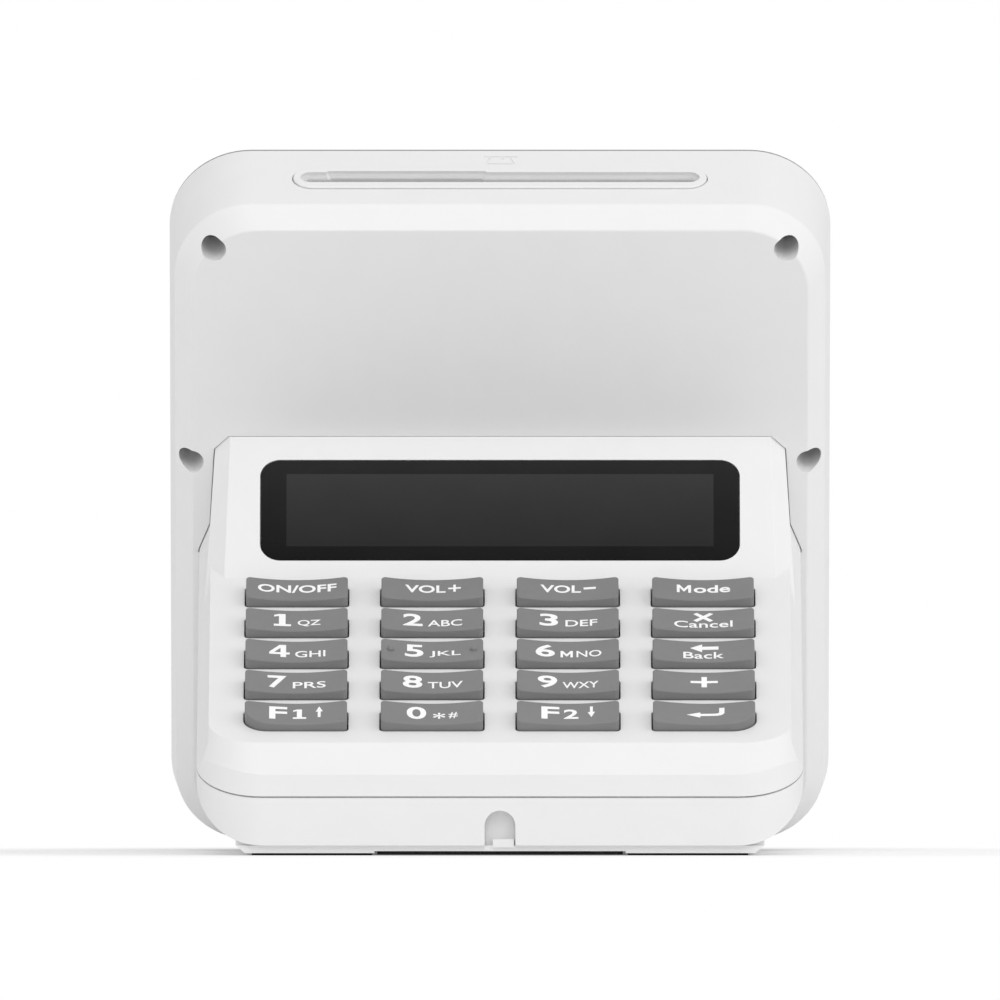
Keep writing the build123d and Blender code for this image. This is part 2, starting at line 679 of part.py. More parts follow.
def backup_cell():
    cell = cylinder_between(HEAD, -20, 30, 10.0, -MAIN_BOARD_FRONT + 0.4, -MAIN_BOARD_FRONT + 3.6)
    return fillet(cell.edges().filter_by(GeomType.CIRCLE), 0.4)


def speaker():
    rear = -MAIN_BOARD_FRONT - 1.8
    body = cylinder_between(HEAD, 0, 13.5, 8.5, rear - 2.4, rear)
    return body + cylinder_between(HEAD, 0, 13.5, 6.0, rear - 2.9, rear - 2.4)


# ---- Customer side ----

LENS = (84.0, 82.0, 5.0)
LENS_MIDDLE = 61.0
LENS_THICKNESS = 1.5
SCREEN_VIEW = (72.0, 54.0)
SCREEN_MIDDLE = 69.0
LIGHT_SITES = [(-15.0, 15.0), (-5.0, 15.0), (5.0, 15.0), (15.0, 15.0)]
LIGHT_SIZE = (6.0, 1.6, 0.79)
SPEAKER_SLOTS = [-6.0, -3.0, 0.0, 3.0, 6.0]
SPEAKER_HEIGHT = 8.2


def bezel_section(depth, inset):
    _, half, low, high, radius = HEAD_RIM
    return head_section(depth, half, low, high, radius, inset=inset)


def customer_bezel():
    rim = HEAD_RIM[0] + 0.02
    straight_end = HEAD_RIM[0] + BEZEL_STEP
    straight = loft([bezel_section(rim, 0.05), bezel_section(straight_end, 0.05)], ruled=True)
    taper = loft([bezel_section(straight_end, 0.05), bezel_section(BEZEL_BACK, BEZEL_TAPER)], ruled=True)
    bezel = straight + taper
    inner_depth = HEAD_RIM[0] + 1.5
    bezel -= loft([bezel_section(HEAD_RIM[0] - 1, 4.2), bezel_section(inner_depth, 4.2)], ruled=True)
    for x, y in both_sides(WELL_SITES):
        bezel += cylinder_between(HEAD, x, y, 2.6, -inner_depth - 0.2, -rim) & bezel_block()
    lens_pocket = Pos(0, LENS_MIDDLE) * rectangle(*LENS)
    bezel -= slab(HEAD, lens_pocket, -BEZEL_BACK - 1, -BEZEL_BACK + LENS_THICKNESS)
    screen_hole = Pos(0, SCREEN_MIDDLE) * rectangle(SCREEN_VIEW[0] + 1, SCREEN_VIEW[1] + 1, 0.5)
    bezel -= slab(HEAD, screen_hole, -BEZEL_BACK - 1, -HEAD_RIM[0] + 1)
    for x, y in LIGHT_SITES:
        bezel -= slab(HEAD, Pos(x, y) * rectangle(*LIGHT_SIZE), -BEZEL_BACK - 1, -HEAD_RIM[0] + 1)
    for x in SPEAKER_SLOTS:
        slot = SlotOverall(5.0, 1.2, rotation=90)
        bezel -= slab(HEAD, Pos(x, SPEAKER_HEIGHT) * slot, -BEZEL_BACK - 1, -HEAD_RIM[0] + 1)
    for x, y in both_sides(WELL_SITES):
        bezel -= cylinder_between(HEAD, x, y, 0.85, -HEAD_RIM[0] - 2.6, 0)
    return bezel


def bezel_block():
    return loft([bezel_section(HEAD_RIM[0] - 1, 0.05), bezel_section(BEZEL_BACK - 0.5, 2.2)], ruled=True)


def customer_lens():
    width, height, radius = LENS
    outline = Pos(0, LENS_MIDDLE) * rectangle(width - 2 * FIT, height - 2 * FIT, radius - FIT)
    return slab(HEAD, outline, -BEZEL_BACK, -BEZEL_BACK + LENS_THICKNESS - 0.05)


def customer_display():
    outline = Pos(0, SCREEN_MIDDLE) * rectangle(SCREEN_VIEW[0] + 5, SCREEN_VIEW[1] + 5, 0.6)
    return slab(HEAD, outline, -21.8, -18.4)


def nfc_antenna():
    ring = Pos(0, LENS_MIDDLE) * rectangle(83, 81, 3)
    hole = Pos(0, SCREEN_MIDDLE) * rectangle(SCREEN_VIEW[0] + 5.6, SCREEN_VIEW[1] + 5.6, 1)
    return slab(HEAD, ring - hole, -21.7, -21.2)


def status_light_pipe():
    """Four light windows on one bar."""
    bar = slab(HEAD, Pos(0, 15) * rectangle(38, 4, 1), -21.85, -20.9)
    for x, y in LIGHT_SITES:
        width, height, radius = LIGHT_SIZE
        outline = Pos(x, y) * rectangle(width - 2 * FIT, height - 2 * FIT, radius - FIT)
        bar += slab(HEAD, outline, -BEZEL_BACK, -21.6)
    return bar


def head_screws():
    return group([screw(HEAD, x, y, -WELL_DEPTH, 13.8, 0.8, 1.7, 1.2) for x, y in both_sides(WELL_SITES)])


# ---- Base contents and underside ----

def battery_pack():
    pack = Pos(0, FRONT_Y + 47, BASE_BOTTOM + WALL + 5.5) * Box(50, 36, 11)
    return fillet(pack.edges().filter_by(Axis.X), 2.5)


def board_link_flex():
    """Flat cable from the keypad board through the head wall to the main board."""
    left = 3.5
    width = 13.0
    thickness = 0.25
    start = PLATE.from_local_coords(Vector(0, 44.0, -BOARD_DEPTH - BOARD_THICKNESS - 0.15))
    middle = HEAD.from_local_coords(Vector(0, 27.0, 2.0))
    end = HEAD.from_local_coords(Vector(0, 33.0, -MAIN_BOARD_FRONT + 0.15))
    plane = Plane(origin=(left, 0, 0), x_dir=(0, 1, 0), z_dir=(1, 0, 0))
    path = Polyline((start.Y, start.Z), (middle.Y, middle.Z), (end.Y, end.Z))
    strip = offset(path, amount=thickness / 2, kind=Kind.INTERSECTION, side=Side.BOTH, closed=True)
    return extrude(plane * make_face(strip.edges()), amount=width)


def usb_socket():
    """Socket in the cable well's rear wall, with its mouth towards the front."""
    back = FRONT_Y + WALL + CABLE_WELL[1]
    shell = Pos(0, back - 3.6, BASE_BOTTOM + 4.0) * Box(8.94, 7.2, 3.26)
    shell = fillet(shell.edges().filter_by(Axis.Y), 1.5)
    mouth = Pos(0, back - 5.2, BASE_BOTTOM + 4.0) * Box(8.2, 5.2, 2.5)
    mouth = fillet(mouth.edges().filter_by(Axis.Y), 1.2)
    tongue = Pos(0, back - 4.6, BASE_BOTTOM + 4.0) * Box(6.6, 4.6, 0.7)
    return shell - mouth + tongue


PLATEAU_FRONT = 0.8       # underside plate's front edge behind the front wall
PLATEAU_BACK = 96.0
PAD_INNER = 19.2          # the two long rubber pads run between these half widths
PAD_OUTER = 37.2


def plateau_bar(x_low, x_high, z_low, z_high, taper):
    """Bar whose outer side draws in towards the table."""
    points = [(x_low, z_high), (x_high, z_high), (x_high - taper, z_low), (x_low, z_low)]
    plane = Plane(origin=(0, FRONT_Y + PLATEAU_FRONT, 0), x_dir=(1, 0, 0), z_dir=(0, -1, 0))
    return extrude(plane * make_face(Polyline(*points, close=True)), amount=-(PLATEAU_BACK - PLATEAU_FRONT))


def arch_ledge():
    """Small ledge that a cable rests on in the arched outlet."""
    low = BASE_BOTTOM - 0.3
    top = 2.45
    return Pos(0.5, FRONT_Y + 1.5, (low + top) / 2) * Box(3.2, 2.2, top - low)


def bottom_plate():
    plate = plateau_bar(-20, 20, CENTRE_LOW, BASE_BOTTOM, 0)
    bar = plateau_bar(PLATEAU_INNER, PLATEAU_HALF, PLATEAU_LOW, BASE_BOTTOM, PLATEAU_TAPER)
    plate = plate + bar + mirror(bar, Plane.YZ)
    tongue_height = ARCH_TOP - BASE_BOTTOM + 0.6
    tongue = Box(6.4, 1.0, tongue_height, align=(Align.CENTER, Align.MIN, Align.MIN))
    plate += Pos(0, FRONT_Y + WALL + FIT, BASE_BOTTOM - 0.2) * tongue
    plate += arch_ledge()
    for x, y in PLATE_SCREW_SITES:
        plate -= Pos(x, y, 0) * Cylinder(2.3, 1.7)
        plate -= Pos(x, y, 1) * Cylinder(1.0, 4)
    return plate


def foot_pad(side):
    length = PLATEAU_BACK - PLATEAU_FRONT - 4
    outline = rectangle(PAD_OUTER - PAD_INNER, length, 1.0)
    x_middle = side * (PAD_OUTER + PAD_INNER) / 2
    y_middle = FRONT_Y + (PLATEAU_FRONT + PLATEAU_BACK) / 2
    pad = slab(Plane.XY, Pos(x_middle, y_middle) * outline, 0, PLATEAU_LOW)
    for x, y in PLATE_SCREW_SITES:
        pad -= Pos(x, y, 0) * Cylinder(2.6, 4)
    return pad


def foot_pad_centre():
    length = PLATEAU_BACK - PLATEAU_FRONT - 4
    y = FRONT_Y + (PLATEAU_FRONT + PLATEAU_BACK) / 2
    return slab(Plane.XY, Pos(0, y) * rectangle(36.8, length, 1.0), 0.15, CENTRE_LOW)


def cover_screws():
    down = Plane(origin=(0, 0, 0), x_dir=(1, 0, 0), z_dir=(0, 0, -1))
    return group([screw(down, x, -y, -3.0, 15.0, 0.8, 1.9, 1.2) for x, y in COVER_SCREW_SITES])


def bottom_plate_screws():
    down = Plane(origin=(0, 0, 0), x_dir=(1, 0, 0), z_dir=(0, 0, -1))
    return group([screw(down, x, -y, -0.85, 4.5, 0.8, 2.0, 0.35) for x, y in PLATE_SCREW_SITES])


def write_parts():
    nodes = {
        "main_housing": main_housing(),
        "keypad_cover": keypad_cover(),
        "operator_window": operator_window(),
        "operator_lcd": operator_lcd(),
        "lcd_holder": lcd_holder(),
        "display_flex": display_flex(),
        "keypad_mat": keypad_mat(),
        "keypad_pcb": keypad_pcb(),
        "dome_contacts": dome_contacts(),
        "keypad_pcb_screws": keypad_pcb_screws(),
        "board_link_flex": board_link_flex(),
        "battery_pack": battery_pack(),
        "main_pcb": main_pcb(),
        "main_pcb_screws": main_pcb_screws(),
        "backup_cell": backup_cell(),
        "speaker": speaker(),
        "card_slot_bezel": card_slot_bezel(),
        "card_reader_body": card_reader_body(),
        "card_reader_contacts": card_reader_contacts(),
        "customer_bezel": customer_bezel(),
        "customer_lens": customer_lens(),
        "customer_display": customer_display(),
        "nfc_antenna": nfc_antenna(),
        "status_light_pipe": status_light_pipe(),
        "head_screws": head_screws(),
        "usb_socket": usb_socket(),
        "bottom_plate": bottom_plate(),
        "bottom_plate_screws": bottom_plate_screws(),
        "cover_screws": cover_screws(),
        "foot_pad_left": foot_pad(-1),
        "foot_pad_right": foot_pad(1),
        "foot_pad_centre": foot_pad_centre(),
    }
    for row, names in enumerate(KEY_NAMES):
        for column, name in enumerate(names):
            nodes[name] = key_cap(row, column)
    os.makedirs("parts", exist_ok=True)
    for name, shape in nodes.items():
        export_step(shape, f"parts/{name}.step")


write_parts()
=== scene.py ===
import json
from math import cos, hypot, radians, sin

import bmesh
import bpy
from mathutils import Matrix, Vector
from mathutils.bvhtree import BVHTree


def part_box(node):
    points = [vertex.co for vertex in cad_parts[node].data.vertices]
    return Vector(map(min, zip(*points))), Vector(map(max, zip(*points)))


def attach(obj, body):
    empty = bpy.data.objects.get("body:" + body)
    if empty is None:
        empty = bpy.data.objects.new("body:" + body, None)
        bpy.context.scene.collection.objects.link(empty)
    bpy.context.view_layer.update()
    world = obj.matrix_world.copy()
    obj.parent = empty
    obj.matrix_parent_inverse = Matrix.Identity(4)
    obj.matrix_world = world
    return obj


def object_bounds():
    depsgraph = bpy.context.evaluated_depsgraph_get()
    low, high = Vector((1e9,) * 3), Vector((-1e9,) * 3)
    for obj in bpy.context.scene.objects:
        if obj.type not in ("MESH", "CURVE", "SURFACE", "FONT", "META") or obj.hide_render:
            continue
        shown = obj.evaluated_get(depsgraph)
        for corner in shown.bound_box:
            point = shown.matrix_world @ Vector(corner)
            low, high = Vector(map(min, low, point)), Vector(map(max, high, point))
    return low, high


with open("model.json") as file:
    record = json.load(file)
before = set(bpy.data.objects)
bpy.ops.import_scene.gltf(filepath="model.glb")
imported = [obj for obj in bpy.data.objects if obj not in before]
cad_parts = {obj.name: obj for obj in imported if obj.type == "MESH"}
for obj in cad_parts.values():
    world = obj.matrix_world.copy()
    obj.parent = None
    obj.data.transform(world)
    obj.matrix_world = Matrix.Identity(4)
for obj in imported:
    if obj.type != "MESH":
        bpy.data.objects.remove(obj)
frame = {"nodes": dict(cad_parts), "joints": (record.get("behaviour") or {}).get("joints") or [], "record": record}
CAD_LOW, CAD_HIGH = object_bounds()
NODES = frame["nodes"]
MM = 0.001


# ---- Camera, floor and light ----

VIEW_WIDTH = 151.06 * MM          # width of the picture in the object's middle plane
VIEW_HEIGHT = 53.23 * MM          # height of the picture's middle above the table
LENS = 1700.0
SENSOR = 36.0


def make_camera():
    data = bpy.data.cameras.new("camera")
    data.lens = LENS
    data.sensor_width = SENSOR
    distance = VIEW_WIDTH * LENS / SENSOR
    data.clip_start = 0.1
    data.clip_end = 2 * distance
    camera = bpy.data.objects.new("camera", data)
    camera.location = (0, -distance, VIEW_HEIGHT)
    camera.rotation_euler = (radians(90), 0, 0)
    bpy.context.scene.collection.objects.link(camera)
    bpy.context.scene.camera = camera


FLOOR_RADIUS = 1.2
FLOOR_SHADED = 0.07               # within this radius the floor takes the object's shade
FLOOR_WHITE = 0.13                # beyond this one it is plain white, like the sky
FLOOR_COLOUR = (0.84, 0.84, 0.84, 1)
FLOOR_GLOW = 0.11
SKY_SEEN = 1.0
SKY_LIGHT = 0.70


def make_floor():
    mesh = bpy.data.meshes.new("floor")
    shape = bmesh.new()
    bmesh.ops.create_circle(shape, cap_ends=True, radius=FLOOR_RADIUS, segments=96)
    shape.to_mesh(mesh)
    shape.free()
    floor = bpy.data.objects.new("floor", mesh)
    bpy.context.scene.collection.objects.link(floor)
    mesh.materials.append(pale_floor())


def pale_floor():
    """Pale card that turns into the white of the sky away from the object."""
    material = bpy.data.materials.new("pale_floor")
    material.use_nodes = True
    nodes = material.node_tree.nodes
    links = material.node_tree.links
    shader = nodes["Principled BSDF"]
    shader.inputs["Base Color"].default_value = FLOOR_COLOUR
    shader.inputs["Roughness"].default_value = 0.9
    shader.inputs["Specular IOR Level"].default_value = 0.1
    shader.inputs["Emission Color"].default_value = (1, 1, 1, 1)
    shader.inputs["Emission Strength"].default_value = FLOOR_GLOW
    white = nodes.new("ShaderNodeEmission")
    white.inputs["Color"].default_value = (1, 1, 1, 1)
    white.inputs["Strength"].default_value = SKY_SEEN
    place = nodes.new("ShaderNodeTexCoord")
    radius = nodes.new("ShaderNodeVectorMath")
    radius.operation = "LENGTH"
    fade = nodes.new("ShaderNodeMapRange")
    fade.interpolation_type = "SMOOTHSTEP"
    fade.inputs["From Min"].default_value = FLOOR_SHADED
    fade.inputs["From Max"].default_value = FLOOR_WHITE
    mix = nodes.new("ShaderNodeMixShader")
    links.new(place.outputs["Object"], radius.inputs[0])
    links.new(radius.outputs["Value"], fade.inputs["Value"])
    links.new(fade.outputs["Result"], mix.inputs["Fac"])
    links.new(shader.outputs["BSDF"], mix.inputs[1])
    links.new(white.outputs["Emission"], mix.inputs[2])
    links.new(mix.outputs["Shader"], nodes["Material Output"].inputs["Surface"])
    return material


def make_sky():
    """An even white sky, paler to the eye than the light that it gives."""
    world = bpy.data.worlds.new("sky")
    world.use_nodes = True
    nodes = world.node_tree.nodes
    links = world.node_tree.links
    nodes.clear()
    lighting = nodes.new("ShaderNodeBackground")
    lighting.inputs["Color"].default_value = (1, 1, 1, 1)
    lighting.inputs["Strength"].default_value = SKY_LIGHT
    seen = nodes.new("ShaderNodeBackground")
    seen.inputs["Color"].default_value = (1, 1, 1, 1)
    seen.inputs["Strength"].default_value = SKY_SEEN
    path = nodes.new("ShaderNodeLightPath")
    mix = nodes.new("ShaderNodeMixShader")
    output = nodes.new("ShaderNodeOutputWorld")
    links.new(path.outputs["Is Camera Ray"], mix.inputs["Fac"])
    links.new(lighting.outputs["Background"], mix.inputs[1])
    links.new(seen.outputs["Background"], mix.inputs[2])
    links.new(mix.outputs["Shader"], output.inputs["Surface"])
    bpy.context.scene.world = world


def make_softbox(name, azimuth, elevation, distance, size, power):
    """A square light aimed at the object. Azimuth 0 is the operator's side, turning to the right."""
    data = bpy.data.lights.new(name, "AREA")
    data.shape = "SQUARE"
    data.size = size
    data.energy = power
    light = bpy.data.objects.new(name, data)
    turn = radians(azimuth)
    rise = radians(elevation)
    away = Vector((sin(turn) * cos(rise), -cos(turn) * cos(rise), sin(rise)))
    centre = (CAD_LOW + CAD_HIGH) / 2
    light.location = centre + away * distance
    light.rotation_euler = away.to_track_quat("Z", "Y").to_euler()
    light.visible_camera = False
    bpy.context.scene.collection.objects.link(light)


def make_studio():
    make_floor()
    make_sky()
    make_softbox("key_light", 0, 46, 1.2, 0.9, 4.3)
    make_softbox("right_light", 66, 30, 1.2, 0.9, 2.6)
    bpy.context.scene.view_settings.view_transform = "Standard"


# ---- Materials ----

MIDDLE_OF_NOISE = (0.3, 0.7)


class Finish:
    """A principled material under construction, in object coordinates, which are metres here."""

    def __init__(self, name, roughness, **settings):
        self.material = bpy.data.materials.new(name)
        self.material.use_nodes = True
        self.nodes = self.material.node_tree.nodes
        self.links = self.material.node_tree.links
        self.shader = self.nodes["Principled BSDF"]
        self.shader.inputs["Roughness"].default_value = roughness
        for socket, value in settings.items():
            self.shader.inputs[socket.replace("_", " ")].default_value = value
        self.place = self.nodes.new("ShaderNodeTexCoord").outputs["Object"]

    def noise(self, size_mm, detail=3.0, stretch=None):
        """Noise whose features are about size_mm across. Most of it lies within MIDDLE_OF_NOISE."""
        noise = self.nodes.new("ShaderNodeTexNoise")
        noise.inputs["Scale"].default_value = 1 / (size_mm * MM)
        noise.inputs["Detail"].default_value = detail
        source = self.place
        if stretch:
            mapping = self.nodes.new("ShaderNodeMapping")
            mapping.inputs["Scale"].default_value = stretch
            self.links.new(source, mapping.inputs["Vector"])
            source = mapping.outputs["Vector"]
        self.links.new(source, noise.inputs["Vector"])
        return noise.outputs["Fac"]

    def colour(self, dark, pale, value):
        ramp = self.nodes.new("ShaderNodeValToRGB")
        ramp.color_ramp.elements[0].position = MIDDLE_OF_NOISE[0]
        ramp.color_ramp.elements[0].color = (*dark, 1)
        ramp.color_ramp.elements[1].position = MIDDLE_OF_NOISE[1]
        ramp.color_ramp.elements[1].color = (*pale, 1)
        self.links.new(value, ramp.inputs["Fac"])
        self.links.new(ramp.outputs["Color"], self.shader.inputs["Base Color"])

    def math(self, operation, first, second=None):
        node = self.nodes.new("ShaderNodeMath")
        node.operation = operation
        for socket, value in zip(node.inputs, (first, second)):
            if isinstance(value, (int, float)):
                socket.default_value = value
            elif value is not None:
                self.links.new(value, socket)
        return node.outputs["Value"]

    def distance(self, origin, direction):
        """Signed distance from a point, in metres, along a direction."""
        offset = self.nodes.new("ShaderNodeVectorMath")
        offset.operation = "SUBTRACT"
        offset.inputs[1].default_value = origin
        self.links.new(self.place, offset.inputs[0])
        along = self.nodes.new("ShaderNodeVectorMath")
        along.operation = "DOT_PRODUCT"
        along.inputs[1].default_value = direction
        self.links.new(offset.outputs["Vector"], along.inputs[0])
        return along.outputs["Value"]

    def within(self, value, reach):
        return self.math("LESS_THAN", self.math("ABSOLUTE", value), reach)

    def both(self, first, second):
        return self.math("MULTIPLY", first, second)

    def choose(self, mask, off, on):
        return self.math("ADD", self.math("MULTIPLY", self.math("SUBTRACT", 1.0, mask), off),
                         self.math("MULTIPLY", mask, on))

    def spread(self, value, start, end, low, high):
        spread = self.nodes.new("ShaderNodeMapRange")
        for socket, level in zip(spread.inputs[1:5], (start, end, low, high)):
            socket.default_value = level
        self.links.new(value, spread.inputs["Value"])
        return spread.outputs["Result"]

    def tone(self, value):
        """Use a number as a neutral base colour."""
        colour = self.nodes.new("ShaderNodeCombineColor")
        for socket in colour.inputs:
            self.links.new(value, socket)
        self.links.new(colour.outputs["Color"], self.shader.inputs["Base Color"])

    def roughness(self, value, low, high):
        self.links.new(self.spread(value, *MIDDLE_OF_NOISE, low, high), self.shader.inputs["Roughness"])

    def bump(self, value, height_mm, strength=1.0):
        bump = self.nodes.new("ShaderNodeBump")
        bump.inputs["Distance"].default_value = height_mm * MM
        bump.inputs["Strength"].default_value = strength
        self.links.new(value, bump.inputs["Height"])
        self.links.new(bump.outputs["Normal"], self.shader.inputs["Normal"])


def grey(level):
    return (level, level, level)


def moulded(name, level, spread, roughness, grain_mm, grain_height_mm):
    """Moulded plastic: a faint mottle, a fine spark-eroded grain and a patchy sheen."""
    finish = Finish(name, roughness)
    finish.colour(grey(level - spread), grey(level + spread), finish.noise(6.0))
    finish.roughness(finish.noise(1.5), roughness - 0.05, roughness + 0.05)
    finish.bump(finish.noise(grain_mm, detail=4.0), grain_height_mm)
    return finish.material


def white_plastic():
    return moulded("white_plastic", 0.80, 0.006, 0.48, 0.22, 0.004)


def key_plastic():
    return moulded("key_plastic", 0.205, 0.006, 0.55, 0.18, 0.006)


def grey_plastic():
    return moulded("grey_plastic", 0.30, 0.008, 0.5, 0.22, 0.005)


def inner_plastic():
    return moulded("inner_plastic", 0.05, 0.01, 0.6, 0.3, 0.008)


def silicone():
    return moulded("silicone", 0.42, 0.01, 0.7, 0.3, 0.004)


def rubber():
    return moulded("rubber", 0.016, 0.004, 0.8, 0.35, 0.02)


FRAME_TONES_WITH_PAINTED_REFLECTION = (0.0012, 0.014)     # black print round a window's clear part, lower and upper edge; the paler upper edge is a painted reflection
# Clear part's tones, lower and upper edge; the paler upper edge is a painted reflection
CLEAR_TONES_WITH_PAINTED_REFLECTION = (0.011, 0.036)


def printed_window_with_painted_reflection(node, tilt, view):
    """Black window whose clear part is (width, height, rise above the middle) in millimetres.

    The tilt is the angle of its upward direction from level, and its tone grows paler upwards: a painted
    reflection laid over the print.
    """
    width, height, view_rise = (size * MM for size in view)
    up = Vector((0, cos(tilt), sin(tilt)))
    finish = Finish(node + "_print_and_painted_reflection", 0.2, Specular_IOR_Level=0.12)
    low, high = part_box(node)
    middle = (low + high) / 2
    half = hypot(high.y - low.y, high.z - low.z) / 2
    across = finish.distance(middle, Vector((1, 0, 0)))
    along = finish.distance(middle + up * view_rise, up)
    clear = finish.both(finish.within(across, width / 2), finish.within(along, height / 2))
    # Painted reflection: both the black print and the clear part grow paler along the window's upward direction
    rise = finish.distance(middle, up)
    frame_tone_with_painted_reflection = finish.spread(rise, -half, half, *FRAME_TONES_WITH_PAINTED_REFLECTION)
    clear_tone_with_painted_reflection = finish.spread(rise, -half, half, *CLEAR_TONES_WITH_PAINTED_REFLECTION)
    finish.tone(finish.choose(clear, frame_tone_with_painted_reflection, clear_tone_with_painted_reflection))
    finish.roughness(finish.noise(8.0), 0.16, 0.24)
    return finish.material


def display_glass():
    finish = Finish("display_glass", 0.3, Coat_Weight=0.6, Coat_Roughness=0.08)
    finish.colour((0.028, 0.03, 0.028), (0.036, 0.038, 0.036), finish.noise(4.0))
    finish.roughness(finish.noise(2.0), 0.26, 0.34)
    return finish.material


def flex_film():
    finish = Finish("flex_film", 0.3)
    finish.colour((0.45, 0.2, 0.04), (0.56, 0.28, 0.07), finish.noise(1.0, stretch=(6, 0.4, 0.4)))
    finish.roughness(finish.noise(2.0), 0.24, 0.4)
    return finish.material


def circuit_board():
    finish = Finish("circuit_board", 0.35)
    finish.colour((0.01, 0.11, 0.04), (0.02, 0.19, 0.07), finish.noise(0.8, stretch=(5, 1, 1)))
    finish.bump(finish.noise(0.5), 0.02)
    return finish.material


def metal(name, dark, pale, roughness):
    finish = Finish(name, roughness, Metallic=1.0)
    finish.colour(dark, pale, finish.noise(1.2))
    finish.roughness(finish.noise(0.3, stretch=(1, 8, 1)), roughness - 0.08, roughness + 0.1)
    finish.bump(finish.noise(0.1), 0.002)
    return finish.material


def steel():
    return metal("steel", grey(0.5), grey(0.62), 0.34)


def brass_contact():
    return metal("brass_contact", (0.72, 0.5, 0.18), (0.85, 0.62, 0.28), 0.25)


def battery_wrap():
    finish = Finish("battery_wrap", 0.3)
    finish.colour((0.02, 0.05, 0.2), (0.03, 0.07, 0.26), finish.noise(5.0))
    finish.bump(finish.noise(4.0), 0.05)
    return finish.material


def light_pipe():
    finish = Finish("light_pipe", 0.2, Transmission_Weight=0.5)
    finish.colour((0.5, 0.62, 0.5), (0.6, 0.72, 0.6), finish.noise(1.0))
    finish.roughness(finish.noise(0.6), 0.15, 0.3)
    return finish.material


def legend_ink():
    return moulded("legend_ink", 0.94, 0.01, 0.5, 0.3, 0.002)


FINISHES = [white_plastic, key_plastic, grey_plastic, inner_plastic, silicone, rubber,
            display_glass, flex_film, circuit_board, steel, brass_contact, battery_wrap, light_pipe]

# Black windows: (angle of their upward direction, clear part)
WINDOWS = {
    "operator_window": (radians(55), (64.5, 13.3, 0)),
    "customer_lens": (radians(90 + 27), (72, 54, 8)),
}


def dress_nodes():
    """Give every CAD node the finish of its material slot, and the two windows their prints with a painted
    reflection.
    """
    materials = {make.__name__: make() for make in FINISHES}
    for part in frame["record"]["subparts"]:
        node = part["node"]
        if node in WINDOWS:
            material = printed_window_with_painted_reflection(node, *WINDOWS[node])
        else:
            material = materials[part["material_slot"]]
        for place in NODES[node].material_slots:
            place.material = material


# ---- Key legends ----

BOLD = 0.021                      # stroke thickening of the large letters, in letter heights
SLIGHTLY_BOLD = 0.009             # and of the small ones
SMALL_HEIGHT = 2.1
SAME_POINT = 1e-5
LEGEND_LIFT = 0.025 * MM
LEGEND_SINK = 0.05 * MM
DIGIT = (3.75, 0.1)               # height, and middle above the key's middle, in millimetres
SMALL = (1.95, -0.85)
WORD = (2.35, 0.2)
LOWER_WORD = (2.0, -1.25)
UPPER_SIGN = (2.8, 1.0)
INDEX = (2.9, -0.2)
ARROW = (3.3, 0.35)
SIGN = (3.2, 0.1)
TINY = (1.85, -0.7)

# Each legend is (text or sign, left edge, right edge, (height, middle)), in millimetres
LEGENDS = {
    "key_on_off": [("ON/OFF", -5.9, 5.95, WORD)],
    "key_volume_up": [("VOL", -4.1, 2.0, WORD), ("plus", 2.4, 4.3, (2.2, 0.3))],
    "key_volume_down": [("VOL", -4.1, 2.0, WORD), ("minus", 2.4, 4.25, (0.6, 0.3))],
    "key_mode": [("M", -3.95, -1.8, WORD), ("ode", -1.4, 4.1, WORD)],
    "key_1": [("one", -3.45, -0.85, DIGIT), ("QZ", 0.15, 3.6, SMALL)],
    "key_2": [("2", -4.4, -1.45, DIGIT), ("ABC", -0.65, 4.5, SMALL)],
    "key_3": [("3", -4.25, -1.45, DIGIT), ("DEF", -0.35, 4.45, SMALL)],
    "key_4": [("four", -4.1, -1.0, DIGIT), ("GHI", -0.2, 4.35, SMALL)],
    "key_5": [("5", -4.1, -1.3, DIGIT), ("JKL", -0.4, 4.3, SMALL)],
    "key_6": [("6", -4.85, -1.95, DIGIT), ("M", -1.1, 0.75, SMALL), ("NO", 1.3, 5.05, SMALL)],
    "key_7": [("7", -4.3, -1.45, DIGIT), ("PRS", -0.5, 4.45, SMALL)],
    "key_8": [("8", -4.4, -1.45, DIGIT), ("TUV", -0.65, 4.6, SMALL)],
    "key_9": [("9", -4.55, -1.6, DIGIT), ("WXY", -0.8, 4.6, SMALL)],
    "key_f1": [("F", -4.0, -1.3, DIGIT), ("one", -0.45, 1.55, INDEX), ("up", 2.95, 4.05, ARROW)],
    "key_0": [("0", -3.8, -0.85, DIGIT), ("*", 0.15, 2.0, TINY), ("#", 2.5, 3.85, TINY)],
    "key_f2": [("F", -4.0, -1.3, DIGIT), ("2", -0.65, 1.55, INDEX), ("down", 2.95, 4.05, ARROW)],
    "key_cancel": [("cross", -1.5, 1.5, UPPER_SIGN), ("Cancel", -4.4, 4.4, LOWER_WORD)],
    "key_back": [("back", -2.0, 2.25, (2.4, 1.0)), ("Back", -3.05, 3.05, LOWER_WORD)],
    "key_plus": [("plus", -2.0, 2.1, SIGN)],
    "key_enter": [("enter", -2.6, 3.05, (2.9, 0.2))],
}

